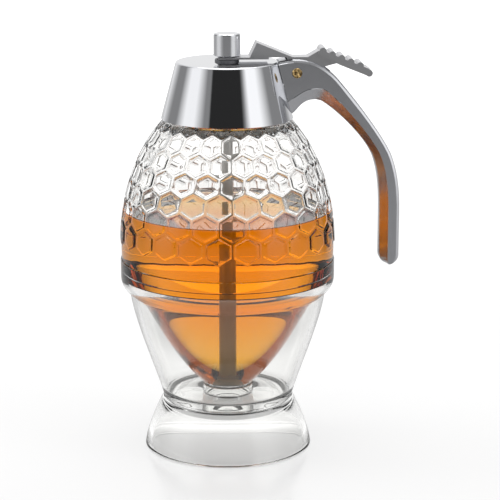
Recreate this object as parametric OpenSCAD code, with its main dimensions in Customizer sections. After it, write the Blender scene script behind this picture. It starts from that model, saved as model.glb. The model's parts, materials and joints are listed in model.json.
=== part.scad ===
// Honey dispenser: a honeycomb bell over an inner funnel and an outer bowl, on a loose stand.
// A sprung trigger on the lid's handle lifts a rod and its stopper out of the outlet.
// Millimetres. The origin is the centre of the stand's bottom face, +Z is up and the handle is at +X.

/* [Stand] */
// Height of the stand's rim above the table
stand_h = 23.4; // [20:0.1:28]
// Outer radius of the stand's foot
stand_foot_r = 39.3; // [37:0.1:43]
// Thickness of the stand's lip round the bowl's foot
stand_lip = 1.3; // [1:0.1:2]
// Thickness of the stand's wall at its foot
stand_wall = 3.2; // [2.4:0.1:4.5]
// Depth of the seat that takes the bowl's foot
seat_depth = 1.8; // [1:0.1:3]
// Width of the ledge that carries the bowl
ledge_w = 3.4; // [2.5:0.1:4.5]

/* [Outer bowl] */
// Height of the bowl's rim above its foot
bowl_h = 68.9; // [64:0.1:74]
// Outer radius of the rim band
band_r = 49.9; // [49.6:0.1:52]
// Height of the straight part of the rim band
band_h = 8.5; // [7:0.1:10]
// Step from the rim band in to the wall below it
band_step = 4.2; // [3.5:0.1:5]
// Width of the rim outside the jar's spigot
rim_w = 1.6; // [1.2:0.1:2.2]
// Radius of the foot that drops into the stand
foot_r = 29.2; // [27:0.1:31]
// Step from the foot out to the waist above the stand
waist_step = 1.1; // [0.8:0.1:1.5]
// Thickness of the bowl's wall
bowl_wall = 2.4; // [1.8:0.1:3]
// Thickness of the bowl's floor
bowl_floor = 5; // [4:0.1:6]

/* [Inner funnel] */
// Thickness of the funnel's wall
funnel_wall = 1.8; // [1.4:0.1:2.4]
// Outer radius of the funnel's neck
neck_tube_r = 11.7; // [10.5:0.1:12.5]
// Thickness of the neck's wall
neck_tube_wall = 1.5; // [1.2:0.1:2]
// Height of the funnel's floor above the bowl's foot
funnel_floor_h = 11.1; // [10:0.1:13]
// Thickness of the funnel's floor
funnel_floor = 3.3; // [3:0.1:4.5]
// Thickness of the flange under the jar
flange_t = 2.5; // [1.8:0.1:3.5]
// Width of the flange on the bowl's ledge
flange_w = 2.3; // [1.8:0.1:3]

/* [Outlet valve] */
// Outer radius of the valve seat
seat_r = 7; // [6.4:0.1:8]
// Height of the valve seat
seat_h = 2.3; // [1.8:0.1:2.6]
// Radius of the seat's bore at the top
seat_top_r = 4.5; // [4.2:0.1:5]
// Radius of the seat's bore at the bottom
seat_low_r = 3.6; // [3.2:0.1:4]
// Height of the stopper from the seat's foot to the collar
stopper_h = 7.6; // [6.5:0.1:9]
// Largest radius of the stopper
stopper_r = 4.9; // [4.7:0.05:5.1]
// Gap between the stopper and its seat
stopper_gap = 0.08; // [0.05:0.01:0.1]

/* [Honeycomb jar] */
// Step from the rim band in to the bell at its widest, without the pads
bell_step = 0.4; // [0.3:0.05:1]
// Height of the bell from the bowl's rim to its shoulder
bell_h = 65; // [61:0.1:67]
// Height of the ellipse's centre above the bowl's rim
bell_centre_h = 6.5; // [4:0.1:8]
// Width of the shoulder round the neck
shoulder_w = 5.2; // [4.5:0.1:7]
// Thickness of the bell's wall
jar_wall = 2.6; // [2.2:0.1:3.2]
// Outer radius of the jar's neck
neck_r = 24; // [21:0.1:26]
// Height of the jar's neck above the shoulder
neck_h = 9; // [7:0.1:11]
// Depth of the spigot inside the rim band
spigot_h = 5.5; // [4:0.1:6]
// Number of honeycomb pads around the bell
cells = 24; // [22:2:26]
// Number of rows of pads
rows = 7; // [7:2:7]
// Height of the lowest row's centre above the bowl's rim
first_row_h = 14.1; // [13:0.1:16]
// Loss of pitch from each row to the next
row_shrink = 0.5; // [0.3:0.05:0.6]
// How far the pads stand proud of the bell
pad_rise = 0.6; // [0.3:0.05:1]
// Width of the groove between two pads
groove_w = 1.3; // [0.8:0.1:2]
// Width of a pad's bevelled edge
bevel_w = 0.7; // [0.4:0.1:1]

/* [Honey] */
// Height of the honey's surface above the bowl's rim
honey_h = 22.5; // [5:0.5:45]
// Gap between the honey and the jar's facets
honey_gap = 0.1; // [0.08:0.01:0.2]

/* [Lid] */
// Height of the lid
lid_h = 26.4; // [25:0.1:29]
// Step from the jar's neck out to the lid's lower edge
lid_skirt = 6.4; // [6.2:0.1:8]
// Step from the lid's lower edge in to its top
lid_taper = 6.7; // [5:0.1:6.8]
// Thickness of the lid's wall
lid_wall = 1.6; // [1.2:0.1:1.8]
// Radius of the lid's rounded top edge
lid_edge = 1; // [0.6:0.1:1.5]
// Gap between the lid and the jar's shoulder
lid_gap = 0.7; // [0.5:0.1:1.2]
// Running gap between the threaded liner and the neck
thread_gap = 0.4; // [0.3:0.05:0.6]
// Gap between the liner and the lid's wall
liner_gap = 0.1; // [0.05:0.05:0.2]
// Thickness of the liner's plate
liner_plate = 1.6; // [1.2:0.1:2]
// Thickness of the lid's gasket
gasket_t = 2; // [1.5:0.1:2.4]

/* [Plunger] */
// Radius of the plunger's rod
rod_r = 2.6; // [2.2:0.1:2.8]
// Running gap between the rod and its bush
rod_gap = 0.05; // [0.02:0.01:0.1]
// Radius of the knob
knob_r = 6.2; // [5.8:0.1:7.5]
// Height of the knob
knob_h = 10.3; // [9:0.1:13]
// Radius of the knob's rounded edge
knob_edge = 0.8; // [0.4:0.1:1.5]
// Radius of the collar that clamps the stopper
collar_r = 3.4; // [3.2:0.1:4]
// Height of the collar
collar_h = 2.4; // [2:0.1:4]
// Radius of the bush's barrel
bush_r = 4.6; // [4.2:0.1:5.2]
// Thickness of the bush's flange
bush_flange_t = 1; // [0.8:0.1:1.2]
// Radius of the spring's wire
wire_r = 0.4; // [0.3:0.05:0.45]
// Number of turns of the spring
spring_turns = 4.5; // [3.5:0.5:5]
// Thickness of the washer under the spring
washer_t = 0.7; // [0.5:0.1:0.8]
// Thickness of the retaining clip
clip_t = 0.7; // [0.5:0.1:0.8]

/* [Handle and trigger] */
// Depth of the handle from side to side
handle_d = 13; // [12:0.1:15]
// Distance of the grip's outer face from the jar's axis
handle_reach = 79.8; // [76:0.1:86]
// Height of the handle from its top to its tip
handle_h = 97; // [90:0.5:100]
// Width of the grip, seen from the side
grip_w = 9; // [8:0.1:11]
// Distance of the pivot outside the lid's top
pivot_out = 8; // [7.6:0.1:9]
// Radius of the lever's hub on the pivot
hub_r = 4.2; // [3.8:0.1:4.6]
// Gap between the hub and the slot's floor
hub_gap = 0.45; // [0.3:0.05:0.8]
// Length of the slot behind the pivot
slot_l = 19; // [18:0.1:20]
// Radius of the pivot pin
pin_r = 1.75; // [1.5:0.05:2]
// Radius of the pivot pin's heads
pin_head_r = 2.35; // [2.2:0.05:2.8]
// Running gap between the lever and the pin
pin_gap = 0.05; // [0.02:0.01:0.1]
// Width of the lever between the handle's cheeks
lever_w = 9; // [8:0.1:9.4]
// Gap between the lever and each cheek
cheek_gap = 0.3; // [0.2:0.05:0.4]
// Width of the ribbed thumb pad
pad_w = 12.4; // [11:0.1:14]
// Thickness of the pad below its ribs
pad_t = 3.05; // [2.6:0.05:3.5]
// Distance of the first rib behind the pivot
pad_out = 11.8; // [11:0.1:13]
// Height of the first rib above the pivot
pad_up = 10; // [9:0.1:11]
// Length of the wedge ahead of the pivot
wedge_l = 21.6; // [20:0.1:22]
// Height of the wedge's point above the pivot
wedge_up = 14; // [13:0.1:15]
// Distance between the pad's ribs
rib_pitch = 4.6; // [4.2:0.1:4.8]
// Radius of the pad's ribs
rib_r = 1.6; // [1.4:0.1:1.8]
// Number of ribs on the pad
ribs = 6; // [5:1:6]
// Thickness of the fork under the knob
fork_t = 0.9; // [0.8:0.1:1]
// Reach of the fork past the rod's axis
fork_reach = 4.2; // [3.5:0.1:5]
// Radius of a handle screw's shank
screw_r = 1.25; // [1.1:0.05:1.4]
// Radius of a handle screw's head
screw_head_r = 2.4; // [2.1:0.1:2.6]

/* [Hidden] */

// Heights of the main joints, from the table up
bowl_z = stand_h - seat_depth;
rim_z = bowl_z + bowl_h;
shoulder_z = rim_z + bell_h;
neck_z = shoulder_z + neck_h;
lid_z = shoulder_z + lid_gap;
lid_top_z = lid_z + lid_h;
funnel_z = bowl_z + funnel_floor_h;
spigot_z = rim_z - spigot_h;
flange_z = spigot_z - flange_t;
seat_z = funnel_z - seat_h;
collar_z = seat_z + stopper_h;
honey_z = rim_z + honey_h;
bell_z = rim_z + bell_centre_h;
plate_z = neck_z + gasket_t;
chamber_z = plate_z + liner_plate;
ceiling_z = lid_top_z - lid_wall;
clip_z = chamber_z + 0.6;
washer_z = clip_z + clip_t;
spring_z = washer_z + washer_t;
flange_top_z = lid_top_z + bush_flange_t;
fork_z = flange_top_z + 0.3;
knob_z = fork_z + fork_t + 0.3;
rod_top_z = knob_z + knob_h / 2;
screw_z = chamber_z + screw_head_r + 0.7;
pivot_z = screw_z + screw_r + 0.45 + hub_gap + hub_r;
handle_top_z = lid_top_z + 1.4;
tip_z = handle_top_z - handle_h;

// Radii that follow from the sizes above
seat_gap = 0.3;
stand_rim_r = foot_r + seat_gap + stand_lip;
waist_r = foot_r + waist_step;
bowl_top_r = band_r - band_step;
spigot_r = band_r - rim_w;
funnel_top_r = spigot_r - flange_w;
bell_r = band_r - bell_step;
shoulder_r = neck_r + shoulder_w;
lid_r = neck_r + lid_skirt;
lid_top_r = lid_r - lid_taper;
pivot_x = lid_top_r + pivot_out;
pivot = [pivot_x, pivot_z];

// Clearances and small radii that several pieces share
joint_gap = 0.05;
channel_r = rod_r + 0.5;
stopper_channel_r = stopper_r + 0.3;
stopper_travel = 11;
groove_depth = 0.5;
stud_r = 1.2;
spring_r = bush_r - 0.15;
facets = 3 * cells;
part_of_row = 1 / 3;

function bezier(a, b, c, d, n = 14) =
    [for (i = [0:n]) let (t = i / n)
        pow(1 - t, 3) * a + 3 * t * pow(1 - t, 2) * b + 3 * t * t * (1 - t) * c + t * t * t * d];

// Points of a curve moved sideways by a distance, to the left of its direction
function shifted(curve, distance) =
    [for (i = [0:len(curve) - 1])
        let (ahead = curve[min(i + 1, len(curve) - 1)],
             behind = curve[max(i - 1, 0)],
             run = (ahead - behind) / norm(ahead - behind))
        curve[i] + distance * [-run.y, run.x]];

function arc(centre, radius, from, to, n = 6) =
    [for (i = [0:n]) let (a = from + (to - from) * i / n) centre + radius * [cos(a), sin(a)]];

function reversed(list) = [for (i = [len(list) - 1:-1:0]) list[i]];

// Outlines in radius and height that more than one piece follows
stand_curve = bezier([stand_rim_r, stand_h], [stand_rim_r + 3.4, stand_h * 0.7],
                     [stand_foot_r - 1.1, stand_h * 0.34], [stand_foot_r, 0]);
band_low_z = rim_z - band_h;
bowl_curve = bezier([bowl_top_r, band_low_z - 7.2], [bowl_top_r - 1.8, bowl_z + bowl_h * 0.56],
                    [waist_r + 3.9, bowl_z + bowl_h * 0.24], [waist_r, stand_h + 0.8]);
funnel_curve = bezier([funnel_top_r, flange_z], [funnel_top_r - 7.5, flange_z - 12.5],
                      [neck_tube_r + 16.3, funnel_z + 12.3], [neck_tube_r, funnel_z - 1.5], 18);
funnel_inside = [for (p = shifted(funnel_curve, -funnel_wall)) if (p.y > funnel_z + 0.3) p];
cavity_floor_r = funnel_inside[len(funnel_inside) - 1].x - 1;

// The bell follows an ellipse that meets the shoulder
bell_half_h = (bell_h - bell_centre_h) / sqrt(1 - pow(shoulder_r / bell_r, 2));
function bell_radius(z) = bell_r * sqrt(1 - pow((z - bell_z) / bell_half_h, 2));
function bell_inside(z) =
    (bell_r - jar_wall) * sqrt(1 - pow((z - bell_z) / (bell_half_h - jar_wall), 2));
function lid_radius(z) = lid_r + (lid_top_r - lid_r) * (z - lid_z) / lid_h;

module turned(outline) {
    rotate_extrude($fn = 120) polygon(outline);
}

// A flat outline in X and Z, given a depth along Y
module side_plate(depth) {
    translate([0, depth / 2, 0]) rotate([90, 0, 0]) linear_extrude(depth) children();
}

// A tube along the points of a path, closed at both ends
module swept_tube(path, radius, sides) {
    count = len(path);
    points = [for (i = [0:count - 1])
        let (run = path[min(i + 1, count - 1)] - path[max(i - 1, 0)],
             along = run / norm(run),
             out = [path[i].x, path[i].y, 0] / norm([path[i].x, path[i].y]),
             up = cross(along, out))
        for (k = [0:sides - 1])
            path[i] + radius * (cos(360 * k / sides) * up + sin(360 * k / sides) * out)];
    walls = [for (i = [0:count - 2], k = [0:sides - 1])
        let (a = i * sides + k, b = i * sides + (k + 1) % sides)
        each [[a, b, b + sides], [a, b + sides, a + sides]]];
    ends = [for (k = [1:sides - 2]) each
        [[0, k + 1, k], [(count - 1) * sides, (count - 1) * sides + k, (count - 1) * sides + k + 1]]];
    polyhedron(points, concat(walls, ends));
}

module stand_ring() {
    ledge_r = foot_r + seat_gap - ledge_w;
    inside = bezier([stand_foot_r - stand_wall, 0], [stand_foot_r - stand_wall - 0.8, stand_h * 0.34],
                    [ledge_r + 4.4, stand_h * 0.62], [ledge_r, bowl_z - 3.2]);
    color("gainsboro", 0.4)
    turned(concat(
        [[foot_r + seat_gap, stand_h], [stand_rim_r - 0.3, stand_h]],
        [for (p = stand_curve) if (p.y < stand_h - 0.1) p],
        inside,
        [[ledge_r, bowl_z], [foot_r + seat_gap, bowl_z]]));
}

module outer_bowl() {
    ledge = [[spigot_r + joint_gap, rim_z], [spigot_r + joint_gap, flange_z], [funnel_top_r, flange_z]];
    wall = shifted(bowl_curve, -bowl_wall);
    inside = [for (p = wall) if (p.y > bowl_z + bowl_floor + 3) p];
    corner = inside[len(inside) - 1];
    band = bezier([band_r, band_low_z], [band_r - 0.2, band_low_z - 3.6],
                  [bowl_top_r + 2.2, band_low_z - 5.4], [bowl_top_r, band_low_z - 7.2], 8);
    color("gainsboro", 0.4)
    turned(concat(
        ledge, inside,
        [[corner.x - 1, bowl_z + bowl_floor + 0.9], [corner.x - 2.6, bowl_z + bowl_floor]],
        [[neck_tube_r + joint_gap, bowl_z + bowl_floor], [neck_tube_r + joint_gap, bowl_z]],
        [[foot_r - 0.6, bowl_z], [foot_r, bowl_z + 0.6], [foot_r, stand_h + 0.3]],
        reversed(bowl_curve), reversed(band), [[band_r, rim_z - 0.4], [band_r - 0.4, rim_z]]));
}

module inner_funnel() {
    bore_r = neck_tube_r - neck_tube_wall;
    color("gainsboro", 0.4)
    turned(concat(
        [[spigot_r, spigot_z], [spigot_r, flange_z]],
        funnel_curve,
        [[neck_tube_r, bowl_z + 0.3], [neck_tube_r - 0.3, bowl_z], [bore_r, bowl_z]],
        [[bore_r, funnel_z - funnel_floor], [seat_r - 1.4, funnel_z - funnel_floor]],
        [[seat_r - 1.4, seat_z], [seat_r, seat_z], [seat_r, funnel_z], [cavity_floor_r, funnel_z]],
        reversed(funnel_inside), [[funnel_top_r, spigot_z]]));
}

module valve_seat() {
    color("white", 0.7)
    turned([[seat_low_r, seat_z], [seat_r, seat_z], [seat_r, funnel_z], [seat_top_r, funnel_z]]);
}

// The bell with its raised hexagonal pads, its neck and its spigot, as one closed skin.
// Pads sit on a lattice: even rows are turned by half a cell, so each corner is shared by three pads.
module honeycomb_jar() {
    step = 360 / cells;
    shoulder_row = rows - 1.1;
    row_pitch = (bell_h - first_row_h) / shoulder_row + row_shrink * (shoulder_row - 1) / 2;
    pad_half = PI * bell_r / cells;

    function at_row(q) = q >= shoulder_row ? shoulder_z
        : rim_z + first_row_h + row_pitch * q - row_shrink * q * (q - 1) / 2;
    // Corner 0 is the upper right one, and the corners run clockwise
    corner_turn = [0.5, 0.5, 0, -0.5, -0.5, 0];
    corner_row = [1, -1, -2, -1, 1, 2] * part_of_row;
    function on_bell(turn, q, rise) =
        let (z = at_row(q), r = bell_radius(z) + rise, a = turn * step)
        [r * cos(a), r * sin(a), z];
    function pad_point(row, cell, corner, scale, rise) =
        on_bell(cell + (row % 2 == 0 ? 0.5 : 0) + corner_turn[corner] * scale,
                row + corner_row[corner] * scale, rise);

    foot_scale = 1 - groove_w / 2 / pad_half;
    top_scale = foot_scale - bevel_w / pad_half;
    last_row = rows - 1;
    pad_points = [for (row = [0:last_row], cell = [0:cells - 1]) each concat(
        [for (k = [0:5]) pad_point(row, cell, k, foot_scale, 0)],
        [for (k = [0:5]) pad_point(row, cell, k, top_scale, pad_rise)],
        [on_bell(cell + (row % 2 == 0 ? 0.5 : 0), row == last_row ? row - 0.35 : row, pad_rise)])];
    function foot(row, cell, corner) = 13 * (row * cells + (cell + cells) % cells) + corner;
    function top(row, cell, corner) = foot(row, cell, corner) + 6;
    function middle(row, cell) = foot(row, cell, 0) + 12;

    pads = [for (row = [0:last_row], cell = [0:cells - 1], k = [0:5])
        let (n = (k + 1) % 6)
        each [[middle(row, cell), top(row, cell, k), top(row, cell, n)],
              [top(row, cell, k), foot(row, cell, k), foot(row, cell, n)],
              [top(row, cell, k), foot(row, cell, n), top(row, cell, n)]]];
    // The groove to the right-hand neighbour, and the two that lead to the row above
    side_grooves = [for (row = [0:last_row], cell = [0:cells - 1])
        each [[foot(row, cell, 0), foot(row, cell + 1, 4), foot(row, cell + 1, 3)],
              [foot(row, cell, 0), foot(row, cell + 1, 3), foot(row, cell, 1)]]];
    rising_grooves = [for (row = [0:last_row - 1], cell = [0:cells - 1])
        let (right = cell + (row % 2 == 0 ? 1 : 0), left = right - 1)
        each [[foot(row, cell, 5), foot(row + 1, right, 3), foot(row + 1, right, 2)],
              [foot(row, cell, 5), foot(row + 1, right, 2), foot(row, cell, 0)],
              [foot(row, cell, 4), foot(row + 1, left, 2), foot(row + 1, left, 1)],
              [foot(row, cell, 4), foot(row + 1, left, 1), foot(row, cell, 5)],
              [foot(row, cell, 5), foot(row + 1, left, 1), foot(row + 1, right, 3)],
              [foot(row, cell, 0), foot(row + 1, right, 2), foot(row, cell + 1, 4)]]];

    // Plain rings from the shoulder over the neck, down the inside and up to the lowest pads
    inside = [for (i = [0:12]) let (z = shoulder_z - 3.4 - (shoulder_z - 3.4 - spigot_z) * i / 12)
        [bell_inside(z), z]];
    rings = concat(
        [[neck_r + 0.6, shoulder_z], [neck_r, shoulder_z + 0.6], [neck_r, neck_z - 0.5]],
        [[neck_r - 0.5, neck_z], [neck_r - jar_wall, neck_z], [neck_r - jar_wall, shoulder_z - 1]],
        inside,
        [[spigot_r, spigot_z], [spigot_r, rim_z + 0.3], [bell_radius(rim_z + 0.3), rim_z + 0.3]],
        [[bell_radius(rim_z + 4), rim_z + 4]]);
    ring_base = len(pad_points);
    ring_points = [for (ring = rings, k = [0:facets - 1]) let (a = (k - 1) * 360 / facets + step / 2)
        [ring[0] * cos(a), ring[0] * sin(a), ring[1]]];
    function ring_at(ring, k) = ring_base + ring * facets + (k + facets) % facets;
    // Outline of the topmost or lowest pads, counted as the rings are: left, middle, right
    function top_edge(k) = foot(last_row, floor(k / 3), [4, 5, 0][k % 3]);
    function low_edge(k) = foot(0, floor(k / 3), [3, 2, 1][k % 3]);
    last_ring = len(rings) - 1;
    skin = concat(
        [for (ring = [0:last_ring - 1], k = [0:facets - 1])
            each [[ring_at(ring, k), ring_at(ring + 1, k + 1), ring_at(ring, k + 1)],
                  [ring_at(ring, k), ring_at(ring + 1, k), ring_at(ring + 1, k + 1)]]],
        [for (k = [0:facets - 1]) let (n = (k + 1) % facets)
            each [[top_edge(k), ring_at(0, n), top_edge(n)],
                  [top_edge(k), ring_at(0, k), ring_at(0, n)],
                  [ring_at(last_ring, k), low_edge(n), ring_at(last_ring, n)],
                  [ring_at(last_ring, k), low_edge(k), low_edge(n)]]]);
    color("whitesmoke", 0.4)
    polyhedron(concat(pad_points, ring_points), concat(pads, side_grooves, rising_grooves, skin));
}

// The contents, with a free way for the rod and the stopper to rise
module honey() {
    stopper_top = collar_z + collar_h + stopper_travel;
    in_funnel = [for (p = funnel_inside) [p.x - joint_gap, p.y]];
    in_bell = [for (i = [0:8]) let (z = spigot_z + 0.4 + (honey_z - spigot_z - 0.4) * i / 8)
        [bell_inside(z) - honey_gap, z]];
    color("darkorange", 0.8)
    turned(concat(
        [[channel_r, honey_z], [channel_r, stopper_top], [stopper_channel_r, stopper_top]],
        [[stopper_channel_r, funnel_z], [cavity_floor_r - joint_gap, funnel_z]],
        reversed(in_funnel), in_bell));
}

module lid_gasket() {
    color("whitesmoke")
    turned([[neck_r - jar_wall - 0.8, neck_z], [neck_r + 0.2, neck_z],
            [neck_r + 0.2, plate_z], [neck_r - jar_wall - 0.8, plate_z]]);
}

// Threaded cap inside the chromed shell
module lid_liner() {
    bore_r = neck_r + thread_gap;
    skirt_z = lid_z + 0.8;
    flange_r = lid_radius(skirt_z + 1.2) - lid_wall;
    liner_r = lid_radius(chamber_z) - lid_wall - liner_gap;
    color("white")
    turned([[bore_r, skirt_z + 0.4], [bore_r + 0.4, skirt_z], [lid_radius(skirt_z) - lid_wall, skirt_z],
            [flange_r, skirt_z + 1.2], [liner_r, skirt_z + 1.2],
            [liner_r, chamber_z - 0.4], [liner_r - 0.4, chamber_z],
            [channel_r + 0.3, chamber_z], [channel_r + 0.3, plate_z], [bore_r, plate_z]]);
}

// Where the two screws that hold the handle go through the lid
screw_y = 3.9;
screw_seat_x = lid_radius(screw_z) - lid_wall - 2.4;

module at_screws() {
    for (side = [-1, 1]) translate([screw_seat_x, side * screw_y, screw_z]) rotate([0, 90, 0]) children();
}

module lid_shell() {
    edge_centre = [lid_top_r - lid_edge, lid_top_z - lid_edge];
    color("silver")
    difference() {
        union() {
            turned(concat(
                [[bush_r, ceiling_z], [lid_radius(ceiling_z) - lid_wall, ceiling_z]],
                [[lid_r - lid_wall, lid_z], [lid_r - 0.3, lid_z], [lid_r, lid_z + 0.4]],
                arc(edge_centre, lid_edge, 8, 90), [[bush_r, lid_top_z]]));
            at_screws() cylinder(r = screw_head_r + 0.5, h = 3.2, $fn = 48);
        }
        at_screws() translate([0, 0, -1]) cylinder(r = screw_r, h = 8, $fn = 48);
    }
}

module guide_bush() {
    color("dimgray")
    turned([[rod_r + rod_gap, ceiling_z - 3.2], [bush_r - 1, ceiling_z - 3.2], [bush_r - 1, ceiling_z],
            [bush_r, ceiling_z], [bush_r, lid_top_z], [bush_r + 1, lid_top_z],
            [bush_r + 1, flange_top_z - 0.3], [bush_r + 0.7, flange_top_z],
            [rod_r + rod_gap, flange_top_z]]);
}

// The handle is a skin over sections that run from the lid to the tip of the grip.
// Each section goes from the inner edge, over a bevel and a flat side, to the rounded outer edge.
grip_in_x = handle_reach - grip_w;
tip_r = grip_w / 2;

function handle_outer() = concat(
    bezier([lid_top_r - 2, handle_top_z - 1.6], [pivot_x - 2, handle_top_z + 0.6],
           [pivot_x + 7, handle_top_z + 1], [pivot_x + 16, pivot_z - 0.3], 9),
    bezier([pivot_x + 18.4, pivot_z - 2.6], [handle_reach - 20.6, pivot_z - 13],
           [handle_reach - 8.9, pivot_z - 28.5], [handle_reach - 4.6, pivot_z - 37.5], 9),
    bezier([handle_reach - 3.6, pivot_z - 40], [handle_reach - 0.9, pivot_z - 48],
           [handle_reach, pivot_z - 55], [handle_reach, pivot_z - 66], 7),
    [[handle_reach, tip_z + tip_r + 8], [handle_reach, tip_z + tip_r]]);

function handle_inner() = concat(
    bezier([lid_r - 2.5, lid_z + 1], [lid_r + 2.6, lid_z + 3],
           [pivot_x + 1.2, pivot_z - 12.6], [pivot_x + 9, pivot_z - 12.7], 9),
    bezier([pivot_x + 11.4, pivot_z - 13.3], [pivot_x + 18.5, pivot_z - 17.6],
           [grip_in_x - 8.7, pivot_z - 29], [grip_in_x - 4.2, pivot_z - 38], 9),
    bezier([grip_in_x - 3.4, pivot_z - 39.8], [grip_in_x - 0.9, pivot_z - 46.5],
           [grip_in_x, pivot_z - 55], [grip_in_x, pivot_z - 66], 7),
    [[grip_in_x, tip_z + tip_r + 8], [grip_in_x, tip_z + tip_r]]);

module handle_body() {
    tip = [handle_reach - tip_r, tip_z + tip_r];
    cap_turns = [18, 36, 52, 66, 78];
    outer = concat(handle_outer(), [for (a = cap_turns) tip + tip_r * [cos(a), -sin(a)]]);
    inner = concat(handle_inner(), [for (a = cap_turns) tip + tip_r * [-cos(a), -sin(a)]]);
    count = len(outer);
    half = handle_d / 2;
    function section(i) =
        let (width = norm(outer[i] - inner[i]),
             across = (outer[i] - inner[i]) / width,
             share = i / (count - 1),
             crease = min(7 - 3.6 * share, width * 0.42),
             round_edge = min(1.4, width * 0.2))
        let (side = [[0, half * 0.36], [0.35, half * 0.5], [min(1.1, crease * 0.4), half * 0.6],
                     [crease, half], [width - round_edge, half],
                     [width - round_edge * 0.3, half - 0.4], [width, half - 1.3]])
        [for (p = concat(side, [for (k = [len(side) - 1:-1:0]) [side[k].x, -side[k].y]]))
            let (place = inner[i] + p.x * across) [place.x, p.y, place.y]];
    points = [for (i = [0:count - 1]) each section(i)];
    sides = len(section(0));
    walls = [for (i = [0:count - 2], k = [0:sides - 1])
        let (a = i * sides + k, b = i * sides + (k + 1) % sides)
        each [[a, b + sides, b], [a, a + sides, b + sides]]];
    last = (count - 1) * sides;
    ends = [for (k = [1:sides - 2]) each [[0, k, k + 1], [last, last + k + 1, last + k]]];
    polyhedron(points, concat(walls, ends));
}

module handle() {
    slot = lever_w + 2 * cheek_gap;
    slot_x = pivot_x - hub_r - 0.8;
    slot_z = pivot_z - hub_r - hub_gap;
    color("silver")
    difference() {
        handle_body();
        // Saddle that fits the lid's cone
        translate([0, 0, lid_z - lid_h])
            cylinder(r1 = lid_radius(lid_z - lid_h), r2 = lid_radius(lid_top_z + 4), h = 2 * lid_h + 4, $fn = 120);
        // Slot between the cheeks, deep enough for the lever's hub
        side_plate(slot) polygon([
            [slot_x, lid_top_z + hub_r], [slot_x, pivot_z - hub_r * 0.76], [pivot_x - hub_r * 0.67, slot_z],
            [pivot_x + hub_r, slot_z], [pivot_x + slot_l, pivot_z + 0.6],
            [pivot_x + slot_l, lid_top_z + hub_r]]);
        translate([pivot_x, 0, pivot_z]) rotate([90, 0, 0])
            cylinder(r = pin_r, h = handle_d + 2, center = true, $fn = 64);
        at_screws() cylinder(r = screw_r, h = 10.6, $fn = 48);
    }
}

module handle_screws() {
    color("lightgray")
    at_screws() {
        translate([0, 0, -2]) difference() {
            cylinder(r = screw_head_r, h = 2, $fn = 48);
            for (turn = [0, 90]) rotate(turn) translate([-1.6, -0.35, -0.1]) cube([3.2, 0.7, 1]);
        }
        translate([0, 0, -0.5]) cylinder(r = screw_r, h = 10.5, $fn = 48);
    }
}

module pivot_pin() {
    head_t = 0.4;
    color("goldenrod")
    translate([pivot_x, 0, pivot_z]) rotate([90, 0, 0]) rotate_extrude($fn = 64)
        polygon([[0, -handle_d / 2 - head_t], [pin_head_r - 0.3, -handle_d / 2 - head_t],
                 [pin_head_r, -handle_d / 2], [pin_r, -handle_d / 2], [pin_r, handle_d / 2],
                 [pin_head_r, handle_d / 2], [pin_head_r - 0.3, handle_d / 2 + head_t],
                 [0, handle_d / 2 + head_t]]);
}

// The trigger: a fork under the knob, a wedge, a hub on the pin and a ribbed thumb pad
pad_tilt = -21.9;
pad_start = pivot + [pad_out, pad_up];
function on_pad(along, above) =
    pad_start + [along * cos(pad_tilt) - above * sin(pad_tilt), along * sin(pad_tilt) + above * cos(pad_tilt)];

module pad_outline() {
    tip_along = (ribs - 1) * rib_pitch;
    polygon([on_pad(-rib_r, 0.2), on_pad(tip_along, 0.2), on_pad(tip_along + 0.6, -pad_t),
             on_pad(2.1 * rib_pitch, -pad_t), on_pad(1.6 * rib_pitch, -pad_t * 0.94),
             on_pad(0.6 * rib_pitch, -pad_t * 0.78), on_pad(-rib_r, -pad_t * 0.7)]);
    for (i = [0:ribs - 2]) translate(on_pad(i * rib_pitch, 0)) circle(r = rib_r, $fn = 32);
    translate(on_pad(tip_along + 0.6, 1.4 - pad_t)) circle(r = rib_r, $fn = 32);
}

module lever() {
    fork_top = fork_z + fork_t;
    wedge_w = pad_w - 1.4;
    slot_r = rod_r + 0.4;
    color("darkgray")
    difference() {
        union() {
            side_plate(lever_w) union() {
                translate(pivot) circle(r = hub_r, $fn = 64);
                polygon([
                    pivot - [hub_r, 0], [pivot_x - hub_r, fork_top], [pivot_x - hub_r * 1.2, fork_top + 1],
                    [pivot_x - hub_r / 3, fork_top - 0.1], [pivot_x + hub_r * 1.2, fork_top - 0.1],
                    on_pad(-rib_r, -pad_t * 0.2), on_pad(2 * rib_pitch, -pad_t * 0.75),
                    pivot + [2.86, 0.6] * hub_r, pivot + [0.71, -0.71] * hub_r]);
            }
            // The fork and the wedge that carries it, one plate
            side_plate(wedge_w) polygon([
                [-fork_reach, fork_z], [-fork_reach, fork_top], [pivot_x - wedge_l, fork_top],
                [pivot_x - wedge_l + 3.2, pivot_z + wedge_up], [pivot_x - 2, pivot_z + wedge_up / 2 + 0.25],
                [pivot_x - 4, fork_top], [pivot_x - wedge_l * 0.6, fork_top], [pivot_x - wedge_l * 0.6, fork_z]]);
            side_plate(pad_w) pad_outline();
        }
        translate([pivot_x, 0, pivot_z]) rotate([90, 0, 0])
            cylinder(r = pin_r + pin_gap, h = lever_w + 2, center = true, $fn = 64);
        // Open end of the fork, which straddles the rod
        translate([1.6, 0, fork_z - 1]) cylinder(r = slot_r, h = fork_t + 2, $fn = 48);
        translate([-fork_reach - 2, -slot_r, fork_z - 1]) cube([fork_reach + 3.6, 2 * slot_r, fork_t + 2]);
    }
}

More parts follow.
